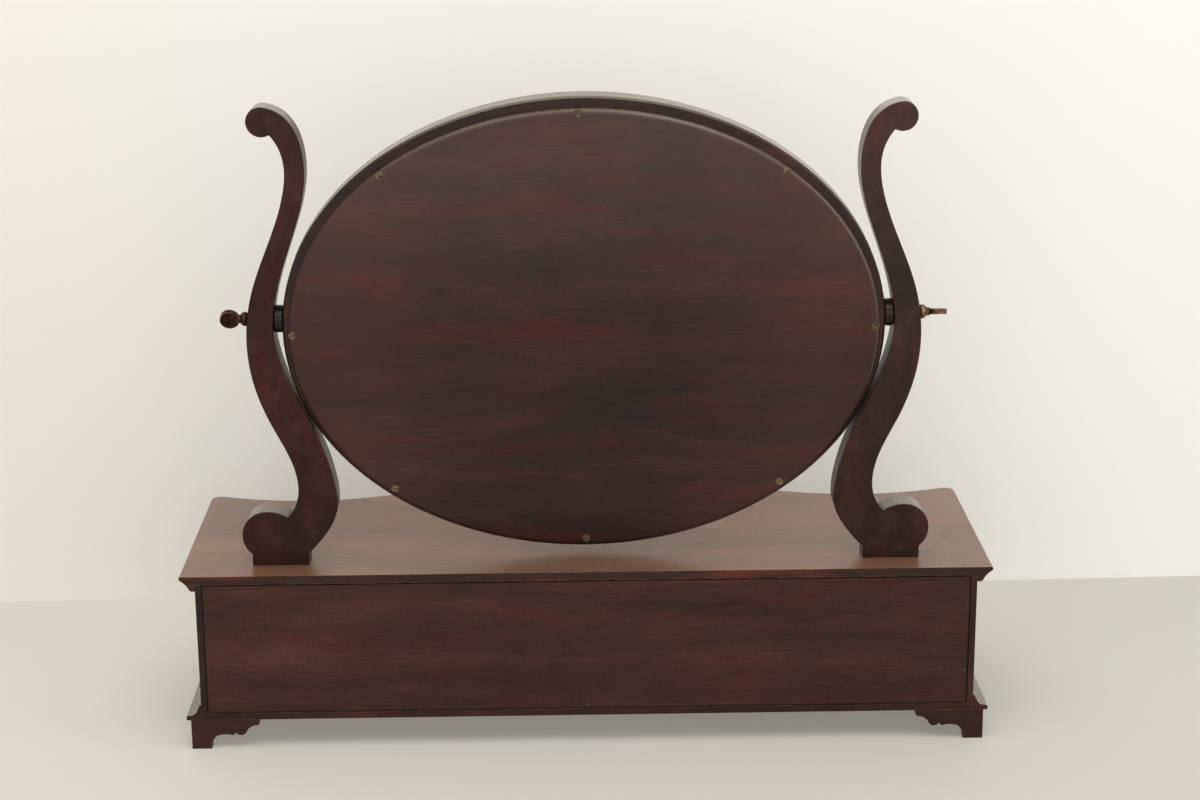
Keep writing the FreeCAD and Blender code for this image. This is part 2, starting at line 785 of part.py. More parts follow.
def tilted(item):
    """Lean a finished mirror piece back about the pivots."""
    item.Placement = FreeCAD.Placement(FreeCAD.Vector(), FreeCAD.Rotation(-X_AXIS, float(s.mirror_tilt)))
    bind(item, "Placement.Rotation.Angle", s.mirror_tilt)
    put(item, (ZERO, pivot_depth, pivot_height))
    return item


# The mirror's own pieces are laid out upright about the pivot axis, and leaned back at the end.
ring_centre = (ZERO, -s.mirror_drop)
board_shift = (s.board_top_inset - s.board_foot_inset) / 2
board_centre = (ZERO, -s.mirror_drop - board_shift)
board_half = ring_half - s.board_side_inset
board_rise = (s.ring_rise - s.board_top_inset - s.board_foot_inset) / 2
board_face = ring_back + s.board_thickness
glass_front = s.ring_lip - ring_back


def make_back_screws():
    """Eight slotted brass screws through the back board into the ring."""
    blanks = []
    screws = []
    reach = ring_half - s.back_screw_inset
    rise = s.ring_rise / 2 - s.back_screw_inset - s.back_screw_drop * 2
    for index, (angle, slot_turn) in enumerate(BACK_SCREW_TURNS, start=1):
        x = reach * math.cos(math.radians(angle))
        z = ring_centre[1] - s.back_screw_drop + rise * math.sin(math.radians(angle))
        start = (x, board_face, z)
        head = cone(f"back_head_{index}", s.back_screw_head, s.back_screw_radius,
                    start, s.back_screw_head_height, -Y_AXIS)
        shank = rod(f"back_shank_{index}", s.back_screw_radius, start, s.back_screw_length, -Y_AXIS)
        blank = fuse(f"back_blank_{index}", head, shank)
        slot = titled("Part::Box", f"back_slot_{index}")
        bind(slot, "Length", s.back_screw_head * 2)
        bind(slot, "Width", s.back_screw_slot_depth * 2)
        bind(slot, "Height", s.back_screw_slot)
        turn = FreeCAD.Rotation(Y_AXIS, slot_turn)
        slot.Placement = FreeCAD.Placement(FreeCAD.Vector(), turn)
        along = turn.multVec(X_AXIS)
        across = turn.multVec(Z_AXIS)
        put(slot, (
            x - s.back_screw_head * along.x - s.back_screw_slot * (across.x / 2),
            board_face - s.back_screw_slot_depth,
            z - s.back_screw_head * along.z - s.back_screw_slot * (across.z / 2),
        ))
        blanks.append(blank)
        screws.append(cut(f"back_screw_{index}", blank, slot))
    tilted(group("back_board_screws", *screws))
    return group("back_screw_blanks", *blanks)


def make_ring(screws):
    """The oval ring: a rounded front, a rebate for the glass, and flats and bushes at the pivots."""
    half_rise = s.ring_rise / 2
    front = -ring_back
    levels = [(s.ring_crest * inwards, front + s.ring_shoulder * down)
              for inwards, down in reversed(SHOULDER_SHARES)]
    levels += [(ZERO, ring_back - s.ring_arris), (s.ring_arris, ring_back)]
    outer = oval_solid("ring_outer", ring_half, half_rise, ring_centre, levels)
    crest = s.ring_crest + s.ring_crest_flat
    run = s.ring_width - crest
    sight = s.ring_lip - s.ring_sight_edge
    levels = [(crest, front - s.overrun)]
    levels += [(crest + run * inwards, front + sight * depth) for inwards, depth in SIGHT_SHARES]
    levels += [(s.ring_width, ring_back + s.overrun)]
    hole = oval_solid("ring_hole", ring_half, half_rise, ring_centre, levels)
    rebate_inset = s.ring_width - s.rebate_width
    levels = [(rebate_inset, glass_front), (rebate_inset, ring_back + s.overrun)]
    rebate = oval_solid("ring_rebate", ring_half, half_rise, ring_centre, levels)
    tools = []
    bushes = []
    for side, sign in SIDES:
        inward = X_AXIS * -sign
        seat = (ring_seat * sign, ZERO, ZERO)
        outer_face = ((ring_seat + s.overrun) * sign, ZERO, ZERO)
        seat_radius = s.spacer_radius + s.seat_clearance
        tools.append(rod(f"ring_seat_{side}", seat_radius, outer_face, s.overrun, inward))
        bush_blank = rod(f"bush_blank_{side}", s.bush_radius, seat, s.bush_length, inward)
        tools.append(bush_blank)
        bore = rod(f"bush_bore_{side}", hole_radius, outer_face, s.bush_length + s.overrun * 2, inward)
        bushes.append(cut(f"bush_{side}", bush_blank, bore))
    tilted(group("pivot_bushes", *bushes))
    tilted(cut("mirror_frame", outer, *tools, hole, rebate, screws))


def make_back_board(screws):
    """The oval back, laid on the ring, with a rounded edge."""
    levels = [(ZERO, ring_back)]
    start = board_face - s.board_edge
    levels += [(s.board_edge * inwards, start + s.board_edge * out) for inwards, out in BOARD_EDGE_SHARES]
    blank = oval_solid("back_board_blank", board_half, board_rise, board_centre, levels)
    tilted(cut("back_board", blank, screws))


def make_glass():
    """The silvered glass in its rebate, and the small blocks that hold it there."""
    inset = s.ring_width - s.rebate_width + s.glass_gap
    rear = glass_front + s.glass_thickness
    half_rise = s.ring_rise / 2
    levels = [(inset, glass_front), (inset, rear)]
    tilted(oval_solid("mirror_glass", ring_half, half_rise, ring_centre, levels))
    blocks = []
    reach = inset + s.glass_gap + s.wedge_width / 2
    half_x = ring_half - reach
    half_z = half_rise - reach
    for index, angle in enumerate(WEDGE_ANGLES, start=1):
        cosine = math.cos(math.radians(angle))
        sine = math.sin(math.radians(angle))
        tangent = FreeCAD.Vector(-float(half_x) * sine, 0, float(half_z) * cosine).normalize()
        turn = FreeCAD.Rotation(tangent, -Y_AXIS, tangent.cross(-Y_AXIS))
        across = turn.multVec(Z_AXIS)
        middle = ring_centre[1] + half_z * sine
        block = titled("Part::Box", f"glass_wedge_{index}")
        bind(block, "Length", s.wedge_length)
        bind(block, "Width", s.wedge_height)
        bind(block, "Height", s.wedge_width)
        block.Placement = FreeCAD.Placement(FreeCAD.Vector(), turn)
        put(block, (
            half_x * cosine - s.wedge_length * (tangent.x / 2) - s.wedge_width * (across.x / 2),
            rear + s.wedge_height,
            middle - s.wedge_length * (tangent.z / 2) - s.wedge_width * (across.z / 2),
        ))
        blocks.append(block)
    tilted(group("glass_wedges", *blocks))


def make_pivots():
    """The turned spacers between ring and standards, and the thumb screws that clamp them."""
    rim = s.spacer_rim
    outer_end = standard_seat
    for side, sign in SIDES:
        outline = [
            (ring_seat * sign, hole_radius),
            (outer_end * sign, hole_radius),
            (outer_end * sign, s.spacer_radius - rim),
            ((outer_end - rim) * sign, s.spacer_radius),
            ((ring_seat + rim) * sign, s.spacer_radius),
            (ring_seat * sign, s.spacer_radius - rim),
        ]
        tilted(turned(f"spacer_{side}", outline))
        tip = ring_seat - s.shank_grip
        outline = [(tip * sign, ZERO), (tip * sign, s.shank_radius), (screw_seat * sign, s.shank_radius)]
        outline += [
            ((screw_seat + s.bead_length * along) * sign, s.bead_radius * out) for along, out in BEAD_SHARES
        ]
        bead_end = screw_seat + s.bead_length
        neck_end = bead_end + s.neck_length
        root_end = neck_end + s.leaf_root
        outline.append((neck_end * sign, s.neck_radius))
        outline += [(root_end * sign, s.leaf_waist / 2), (root_end * sign, ZERO)]
        stem = turned(f"thumb_stem_{side}", outline)
        middle = neck_end + s.leaf_length / 2 - s.leaf_root / 2
        half = s.leaf_thickness / 2
        centre = (middle * sign, ZERO)
        levels = [(ZERO, -half), (ZERO, half)]
        leaf = oval_solid(f"thumb_leaf_{side}", s.leaf_length / 2, s.leaf_height / 2, centre, levels)
        dishes = []
        for name, way in (("front", -1), ("back", 1)):
            ball = titled("Part::Sphere", f"leaf_dish_{name}_{side}")
            bind(ball, "Radius", s.leaf_dish_radius)
            put(ball, (middle * sign, (s.leaf_waist / 2 + s.leaf_dish_radius) * way, ZERO))
            dishes.append(ball)
        leaf = cut(f"thumb_plate_{side}", leaf, *dishes)
        screw = fuse(f"thumb_screw_{side}", stem, leaf)
        turn = s.right_leaf_turn if sign > 0 else s.left_leaf_turn
        screw.Placement = FreeCAD.Placement(FreeCAD.Vector(), FreeCAD.Rotation(-X_AXIS, float(turn)))
        bind(screw, "Placement.Rotation.Angle", turn)
        put(screw, (ZERO, pivot_depth, pivot_height))


def knob(name, place, normal):
    """A turned brass knob with a round rose, its axis along the front's normal."""
    spigot = s.knob_spigot_radius
    outline = [(-s.knob_spigot, ZERO), (-s.knob_spigot, spigot), (ZERO, spigot)]
    outline += [(ZERO, s.knob_rose_radius), (s.knob_rose / 2, s.knob_rose_radius)]
    shaft = s.knob_length - s.knob_rose
    outline += [(s.knob_rose + shaft * along, s.knob_radius * out) for along, out in KNOB_SHARES]
    outline += [(s.knob_length, ZERO)]
    item = turned(name, outline)
    item.Placement = FreeCAD.Placement(place + normal * float(s.knob_lift), FreeCAD.Rotation(X_AXIS, normal))
    return item


def make_drawers():
    """Three drawers: a curved front, two sides, a back, a floor let into grooves, and turned knobs."""
    outside = Plan(s.case_inset)
    strip = strip_tool("front_strip", s.case_inset, s.front_thickness)
    behind = inner_tool("front_inner", s.case_inset, s.front_thickness)
    grooved = inner_tool("front_groove", s.case_inset, s.front_thickness - s.drawer_groove)
    edge = s.divider_place + s.divider_thickness / 2
    inner_edge = s.divider_place - s.divider_thickness / 2
    bays = [("left", -inside_half, -edge), ("centre", -inner_edge, inner_edge), ("right", edge, inside_half)]
    stops = []
    for bay, left_wall, right_wall in bays:
        name = f"{bay}_drawer"
        left = left_wall + s.drawer_gap
        right = right_wall - s.drawer_gap
        top = rail_under - s.drawer_gap
        side_top = top - s.drawer_side_drop
        floor_low = floor_top + s.drawer_floor_lift
        floor_high = floor_low + s.drawer_floor
        inset = s.drawer_side - s.drawer_groove
        floor = box(f"{name}_floor_blank", (left + inset, -back, floor_low),
                    (right - inset, drawer_end, floor_high))
        floor = common(f"{name}_bottom", floor, grooved)
        middle = float(left_wall + right_wall) / 2
        spread = float(s.knob_spacing) / 2 if bay == "centre" else 0.0
        height = float(floor_top + rail_under) / 2
        knobs = []
        for index, x in enumerate(sorted({middle - spread, middle + spread}), start=1):
            if bay == "centre":
                angle = math.asin(x / outside.bow_radius)
                normal = FreeCAD.Vector(math.sin(angle), -math.cos(angle), 0)
                place = outside.bow_point(angle)
            else:
                place = outside.hollow_point(abs(x))
                normal = (outside.hollow - place).normalize()
                if x < 0:
                    place = flipped(place)
                    normal = flipped(normal)
            knobs.append(knob(f"{name}_knob_{index}", place + Z_AXIS * height, normal))
        knobs = group(f"{name}_knobs", *knobs)
        front = box(f"{name}_front_blank", (left, -back, floor_top + s.drawer_gap), (right, back, top))
        cut(f"{name}_front", common(f"{name}_front_plan", front, strip), floor, knobs)
        for side, wall, sign in (("left", left, 1), ("right", right, -1)):
            blank = box(f"{name}_side_blank_{side}", (wall, -back, floor_top),
                        (wall + s.drawer_side * sign, drawer_end, side_top))
            cut(f"{name}_side_{side}", common(f"{name}_side_plan_{side}", blank, behind), floor)
        box(f"{name}_back", (left + s.drawer_side, drawer_end - s.drawer_side, floor_high),
            (right - s.drawer_side, drawer_end, side_top))
        for wall, sign in ((left_wall, 1), (right_wall, -1)):
            start = wall + s.stop_inset * sign
            stops.append(box(f"{name}_stop_{len(stops)}", (start, drawer_end, floor_top),
                             (start + s.stop_length * sign, inside_back, floor_top + s.stop_height)))
    group("drawer_stops", *stops)


DRAWER_PIECES = ["front", "side_left", "side_right", "back", "bottom", "knobs"]
NODES = [
    "top_board", "cornice_left", "cornice_front", "cornice_right",
    "side_panel_left", "side_panel_right", "back_panel", "back_nails", "bottom_board", "top_rail",
    "divider_left", "divider_right", "drawer_stops",
    "base_rail_back", "base_rail_front", "base_rail_left", "base_rail_right",
    "base_moulding_left", "base_moulding_front", "base_moulding_right",
    "rear_bracket_left", "rear_bracket_right", "front_bracket_left", "front_bracket_right",
    "side_bracket_rear_left", "side_bracket_rear_right",
    "side_bracket_front_left", "side_bracket_front_right",
    "foot_blocks", "standard_left", "standard_right", "standard_screws",
    "mirror_frame", "mirror_glass", "glass_wedges", "back_board", "back_board_screws", "pivot_bushes",
    "spacer_left", "spacer_right", "thumb_screw_left", "thumb_screw_right",
]
NODES += [f"{bay}_drawer_{piece}" for bay in ("left", "centre", "right") for piece in DRAWER_PIECES]


def check_and_write():
    """Refuse any failed object, then write each sub-part."""
    for item in doc.Objects:
        failed = [word for word in item.State if word in ("Invalid", "Error")]
        if failed:
            raise RuntimeError(f"{item.Label} is {failed[0]}")
    os.makedirs("parts", exist_ok=True)
    solids = {}
    for name in NODES:
        shape = doc.getObject(name).Shape
        if shape.isNull() or not shape.isValid() or not shape.Solids:
            raise RuntimeError(f"{name} has no valid solid")
        solids[name] = shape
    for name, shape in solids.items():
        shape.exportStep(f"parts/{name}.step")
    print(len(NODES), "sub-parts written")


make_back_panel()
make_case(inner_tool("case_plan", s.case_inset))
make_top_board()
make_cornice()
make_base_moulding()
make_base_rails()
make_feet()
make_standards()
back_screws = make_back_screws()
make_ring(back_screws)
make_back_board(back_screws)
make_glass()
make_pivots()
make_drawers()
doc.recompute()
check_and_write()
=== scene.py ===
import math

import bpy
from mathutils import Matrix, Vector


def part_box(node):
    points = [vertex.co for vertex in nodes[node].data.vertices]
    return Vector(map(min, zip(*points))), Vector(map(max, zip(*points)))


# Looks for a shaving mirror seen from behind: an oval back board in a ring, two scrolled standards,
# a low box with a serpentine front. Metres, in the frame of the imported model.

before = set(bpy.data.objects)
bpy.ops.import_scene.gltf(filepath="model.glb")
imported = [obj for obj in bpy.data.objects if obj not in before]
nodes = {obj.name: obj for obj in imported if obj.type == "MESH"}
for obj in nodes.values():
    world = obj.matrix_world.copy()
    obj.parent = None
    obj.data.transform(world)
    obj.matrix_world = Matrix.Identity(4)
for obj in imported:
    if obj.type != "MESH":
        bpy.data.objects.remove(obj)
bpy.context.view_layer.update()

# Camera

IMAGE_WIDTH = 1200
SENSOR = 36.0
FOCAL_PIXELS = 2429.56
CAMERA_PLACE = Vector((0.02395, 2.19492, 0.92495))
CAMERA_PITCH = 0.2809
CAMERA_YAW = -0.0178
CAMERA_ROLL = 0.0069


def make_camera():
    """The camera behind the object and a little above it."""
    forward = Vector((
        math.sin(CAMERA_YAW) * math.cos(CAMERA_PITCH),
        -math.cos(CAMERA_YAW) * math.cos(CAMERA_PITCH),
        -math.sin(CAMERA_PITCH),
    ))
    level_right = forward.cross(Vector((0, 0, 1))).normalized()
    level_down = forward.cross(level_right)
    right = level_right * math.cos(CAMERA_ROLL) + level_down * math.sin(CAMERA_ROLL)
    down = level_down * math.cos(CAMERA_ROLL) - level_right * math.sin(CAMERA_ROLL)
    data = bpy.data.cameras.new("camera")
    data.sensor_width = SENSOR
    data.lens = FOCAL_PIXELS * SENSOR / IMAGE_WIDTH
    camera = bpy.data.objects.new("camera", data)
    turn = Matrix((right, -down, -forward)).transposed()
    camera.matrix_world = Matrix.Translation(CAMERA_PLACE) @ turn.to_4x4()
    bpy.context.collection.objects.link(camera)
    bpy.context.scene.camera = camera


# Node helpers

def opaque(colour):
    """The same colour with an alpha of one."""
    return (*colour, 1.0)


def even(scale):
    """One scale along all three axes."""
    return (scale, scale, scale)


class Graph:
    """A short way to write a material's nodes."""

    def __init__(self, name):
        self.material = bpy.data.materials.new(name)
        self.material.use_nodes = True
        self.tree = self.material.node_tree
        self.tree.nodes.clear()
        self.links = self.tree.links
        self.output = self.add("ShaderNodeOutputMaterial")

    def add(self, kind, **settings):
        node = self.tree.nodes.new(kind)
        for key, value in settings.items():
            setattr(node, key, value)
        return node

    def join(self, value, socket):
        """A link if the value is a socket, else a plain number or colour."""
        if isinstance(value, bpy.types.NodeSocket):
            self.links.new(value, socket)
        else:
            socket.default_value = value

    def axes(self, kind):
        """X, Y and Z of the object's own coordinates ("Object") or of its normals ("Normal")."""
        source = self.add("ShaderNodeTexCoord")
        split = self.add("ShaderNodeSeparateXYZ")
        self.links.new(source.outputs[kind], split.inputs[0])
        return split.outputs

    def place(self, scale, shift=(0, 0, 0)):
        """Object coordinates, scaled along each axis and shifted."""
        source = self.add("ShaderNodeTexCoord")
        mapping = self.add("ShaderNodeMapping")
        self.links.new(source.outputs["Object"], mapping.inputs["Vector"])
        mapping.inputs["Scale"].default_value = scale
        mapping.inputs["Location"].default_value = shift
        return mapping.outputs["Vector"]

    def noise(self, vector, detail, roughness, distortion=0.0):
        node = self.add("ShaderNodeTexNoise")
        self.join(vector, node.inputs["Vector"])
        self.join(1.0, node.inputs["Scale"])
        self.join(detail, node.inputs["Detail"])
        self.join(roughness, node.inputs["Roughness"])
        self.join(distortion, node.inputs["Distortion"])
        return node.outputs["Fac"]

    def math(self, kind, first, second=None):
        node = self.add("ShaderNodeMath", operation=kind)
        self.join(first, node.inputs[0])
        if second is not None:
            self.join(second, node.inputs[1])
        return node.outputs[0]

    def spread(self, value, low, high, to_low=0.0, to_high=1.0, smooth=True):
        """The value's run from low to high, mapped to another run and held at its ends."""
        kind = "SMOOTHSTEP" if smooth else "LINEAR"
        node = self.add("ShaderNodeMapRange", interpolation_type=kind)
        slots = ("Value", "From Min", "From Max", "To Min", "To Max")
        for slot, number in zip(slots, (value, low, high, to_low, to_high)):
            self.join(number, node.inputs[slot])
        return node.outputs["Result"]

    def ramp(self, value, tones):
        """The value as a colour, through three tones from dark to light."""
        node = self.add("ShaderNodeValToRGB")
        self.join(value, node.inputs["Fac"])
        elements = node.color_ramp.elements
        while len(elements) < len(tones):
            elements.new(0.5)
        for element, position, colour in zip(elements, TONE_PLACES, tones):
            element.position = position
            element.color = opaque(colour)
        return node.outputs["Color"]

    def mix(self, factor, first, second, blend="MIX"):
        node = self.add("ShaderNodeMix", data_type="RGBA", blend_type=blend)
        self.join(factor, node.inputs[0])
        for value, socket in ((first, node.inputs[6]), (second, node.inputs[7])):
            self.join(opaque(value) if isinstance(value, tuple) else value, socket)
        return node.outputs[2]

    def facing_up(self, low=0.40, high=0.92):
        """One on faces that look up where the piece is at rest, zero on upright ones."""
        return self.spread(self.axes("Normal")["Z"], low, high)

    def rim(self):
        """One on the edge of an upright board towards -X, zero on its flat faces and towards +X."""
        normal = self.axes("Normal")
        edge = self.spread(self.math("ABSOLUTE", normal["Y"]), 0.85, 0.97, 1.0, 0.0)
        return self.math("MULTIPLY", edge, self.spread(normal["X"], -0.25, 0.15, 1.0, 0.0))

    def end_grain(self):
        """One on the front and back faces of a board whose grain runs along Y."""
        return self.spread(self.math("ABSOLUTE", self.axes("Normal")["Y"]), 0.80, 0.95)

    def border(self, low, high, width):
        """One within a width of the left, right, bottom and top of an upright board, zero inside."""
        place = self.axes("Object")
        line = None
        for axis in (0, 2):
            middle, reach = (low[axis] + high[axis]) / 2, (high[axis] - low[axis]) / 2
            off = self.math("ABSOLUTE", self.math("SUBTRACT", place[axis], middle))
            near = self.spread(off, reach - width, reach - width * 0.6)
            line = near if line is None else self.math("MAXIMUM", line, near)
        return line

    def specks(self, scale, size, share):
        """A few small round spots: cells of a scale, spots of a size, in a share of the cells."""
        cells = self.add("ShaderNodeTexVoronoi")
        self.join(self.place(even(scale)), cells.inputs["Vector"])
        cells.inputs["Scale"].default_value = 1.0
        chosen = self.add("ShaderNodeSeparateColor")
        self.links.new(cells.outputs["Color"], chosen.inputs[0])
        near = self.spread(cells.outputs["Distance"], size, size * 1.5, 1.0, 0.0)
        return self.math("MULTIPLY", near, self.math("LESS_THAN", chosen.outputs[0], share))

    def edges(self, radius, low=0.02, high=0.30):
        """One along sharp edges, zero on flat faces."""
        bevel = self.add("ShaderNodeBevel", samples=6)
        bevel.inputs["Radius"].default_value = radius
        geometry = self.add("ShaderNodeNewGeometry")
        dot = self.add("ShaderNodeVectorMath", operation="DOT_PRODUCT")
        self.links.new(bevel.outputs[0], dot.inputs[0])
        self.links.new(geometry.outputs["Normal"], dot.inputs[1])
        return self.spread(self.math("SUBTRACT", 1.0, dot.outputs["Value"]), low, high)

    def bump(self, height, strength, distance, normal=None):
        node = self.add("ShaderNodeBump")
        node.inputs["Strength"].default_value = strength
        node.inputs["Distance"].default_value = distance
        self.join(height, node.inputs["Height"])
        if normal is not None:
            self.links.new(normal, node.inputs["Normal"])
        return node.outputs[0]

    def pick(self, factor, first, second):
        """The first shader where the factor is zero, the second where it is one, on the output."""
        chooser = self.add("ShaderNodeMixShader")
        self.links.new(factor, chooser.inputs[0])
        self.links.new(first, chooser.inputs[1])
        self.links.new(second, chooser.inputs[2])
        self.links.new(chooser.outputs[0], self.output.inputs["Surface"])

    def finish(self, **inputs):
        """The surface shader with its inputs, on the output."""
        shader = self.add("ShaderNodeBsdfPrincipled")
        for key, value in inputs.items():
            value = opaque(value) if isinstance(value, tuple) else value
            self.join(value, shader.inputs[key.replace("_", " ")])
        self.links.new(shader.outputs[0], self.output.inputs["Surface"])
        return shader.outputs[0]


# Materials

# Where the three tones of a timber lie in the run of its noise.
TONE_PLACES = (0.33, 0.50, 0.67)

# Three tones of each timber, dark to light.
CASE_TONES = ((0.020, 0.0065, 0.0045), (0.040, 0.0115, 0.0075), (0.068, 0.021, 0.013))
EDGE_TONES = ((0.014, 0.0055, 0.0042), (0.026, 0.0088, 0.0065), (0.044, 0.015, 0.011))
STANDARD_TONES = {
    "left": ((0.0165, 0.0056, 0.0038), (0.032, 0.0096, 0.0064), (0.056, 0.0175, 0.0115)),
    "right": ((0.020, 0.0048, 0.0033), (0.038, 0.0082, 0.0055), (0.065, 0.0155, 0.0100)),
}
BOARD_TONES = ((0.0165, 0.0073, 0.0061), (0.0295, 0.0099, 0.0077), (0.052, 0.0160, 0.0118))
PANEL_TONES = ((0.034, 0.0110, 0.0082), (0.053, 0.0165, 0.0118), (0.076, 0.025, 0.0172))
TOP_TONES = ((0.034, 0.013, 0.0065), (0.094, 0.034, 0.015), (0.180, 0.070, 0.032))
# Pale tones for faces that look up: dust, and a painted sheen where light from above catches them.
DUST_AND_SHEEN_TONES = ((0.090, 0.062, 0.038), (0.140, 0.098, 0.060), (0.195, 0.138, 0.088))
DRAWER_TONES = ((0.060, 0.018, 0.010), (0.120, 0.038, 0.019), (0.200, 0.072, 0.035))
LINING_TONES = ((0.16, 0.095, 0.050), (0.24, 0.15, 0.082), (0.33, 0.22, 0.125))
INSIDE_TONES = ((0.15, 0.092, 0.054), (0.24, 0.152, 0.092), (0.32, 0.215, 0.135))
BLACK_TONES = ((0.005, 0.004, 0.0032), (0.008, 0.0066, 0.005), (0.013, 0.0105, 0.008))
BLACK_RED_TONES = ((0.011, 0.0036, 0.0028), (0.020, 0.0056, 0.0042), (0.034, 0.010, 0.0075))

# Reddish streaks, worn edges, painted highlights and sheen, and the other tints that lie over a
# timber's tones.
STREAK_RED = (0.074, 0.0076, 0.0058)
TOP_RED = (0.180, 0.034, 0.012)
DRAWER_RED = (0.16, 0.036, 0.016)
# Worn arrises; on the back board's bevel this colour also paints a highlight.
WEAR_AND_HIGHLIGHT = (0.20, 0.085, 0.045)
WORN_TOP = (0.34, 0.17, 0.09)
# The back rail's arrises: worn, and painted light as a highlight.
RAIL_WEAR_AND_HIGHLIGHT = (0.22, 0.12, 0.075)
# A pale grey: real cloudiness on the standards, and a painted sheen where it grows with the height.
HAZE_AND_SHEEN = (0.30, 0.205, 0.178)
# A redder tone towards the left and right of the back board.
SIDE_TINT = (0.150, 0.058, 0.044)
END_GRAIN = (0.64, 0.98, 1.0)
DUST_GLOW = (1.0, 0.56, 0.34)
SPECK = (0.30, 0.22, 0.16)

# How fine each part of a timber's pattern is: noise cells per metre along and across the grain.
BANDS = (4.5, 20.0)
STREAKS = (7.0, 330.0)
RED_STREAKS = (7.0, 40.0)
FIBRE = (30.0, 560.0)
PORES = (70.0, 1500.0)
SWELL = (3.0, 14.0)
GRIT = 380.0
BLOOM = 65.0
RUB = 60.0
SPECKS = 30.0
PATCHES = 7.0

WORN_EDGE = 0.0012
COAT_IOR = 1.8
SHEEN_ROUGHNESS = 0.45


def along(grain, scales):
    """The scale of each axis, for a timber whose grain runs along the named axis."""
    lengthwise, across = scales
    return tuple(lengthwise if axis == grain else across for axis in "xyz")


def darker(tone, share):
    return tuple(channel * share for channel in tone)


def timber_colour(g, grain, tones, shift, band, stripe, fine, top_tones, up, red, fibre, fibre_share):
    """Slow bands and thin streaks in three tones, other tones on faces that look up, red streaks and
    fibre.
    """
    bands = g.noise(g.place(along(grain, (BANDS[0], BANDS[1] * band)), shift), 4.5, 0.58, 0.4)
    streaks = g.noise(g.place(along(grain, (STREAKS[0], STREAKS[1] * fine)), shift), 3.0, 0.55)
    tone = g.math("ADD", g.math("MULTIPLY", bands, 1.0 - stripe), g.math("MULTIPLY", streaks, stripe))
    colour = g.ramp(tone, tones)
    # Faces that look up take other tones; the pale dusty ones are dust and a painted sheen.
    if top_tones is not None:
        colour = g.mix(g.facing_up(*up), colour, g.ramp(tone, top_tones))
    if red is not None:
        red_shift = (shift[0] + 5.0, shift[1], shift[2])
        hue = g.noise(g.place(along(grain, RED_STREAKS), red_shift), 4.0, 0.6, 0.4)
        colour = g.mix(g.spread(hue, 0.50, 0.72, 0.0, 0.62), colour, red)
    lines = g.spread(fibre, 0.30, 0.70, 1.0 - fibre_share, 1.0 + fibre_share, False)
    return g.mix(1.0, colour, lines, "MULTIPLY")


def timber_age(g, colour, darkest, shift, patches, mottle, height_sheen, flank, bloom, edge, edge_amount,
               speck_share):
    """Grit, a painted sheen by height, a side tint, cloudiness, dark patches, arrises worn and partly
    painted light, and specks.
    """
    grit = g.noise(g.place(even(GRIT), shift), 4.0, 0.75)
    colour = g.mix(1.0, colour, g.spread(grit, 0.30, 0.70, 0.74, 1.26, False), "MULTIPLY")
    # Paler towards the top: a painted sheen, the light that the upper part catches.
    if height_sheen is not None:
        low, high, amount = height_sheen
        colour = g.mix(g.spread(g.axes("Object")["Z"], low, high, 0.0, amount), colour, HAZE_AND_SHEEN)
    # Redder towards the left and right.
    if flank is not None:
        low, high, amount = flank
        off = g.math("ABSOLUTE", g.axes("Object")["X"])
        colour = g.mix(g.spread(off, low, high, 0.0, amount), colour, SIDE_TINT)
    if bloom:
        cloud = g.noise(g.place(even(BLOOM), shift), 6.0, 0.72)
        colour = g.mix(g.spread(cloud, 0.46, 0.74, 0.0, bloom), colour, HAZE_AND_SHEEN)
        colour = g.mix(g.spread(cloud, 0.26, 0.46, 0.45, 0.0), colour, darker(darkest, 0.7))
    colour = g.mix(g.spread(patches, 0.38, 0.68, 0.0, mottle), colour, darker(darkest, 0.6))
    if edge is not None:
        # Lighter arrises: real wear, and on the back board and back rail also a painted highlight.
        rub = g.spread(g.noise(g.place(even(RUB), shift), 5.0, 0.7), 0.44, 0.62)
        wear = g.math("MULTIPLY", g.math("MULTIPLY", g.edges(WORN_EDGE), rub), edge_amount)
        colour = g.mix(wear, colour, edge)
    if speck_share:
        colour = g.mix(g.specks(SPECKS, 0.03, speck_share), colour, SPECK)
    return colour


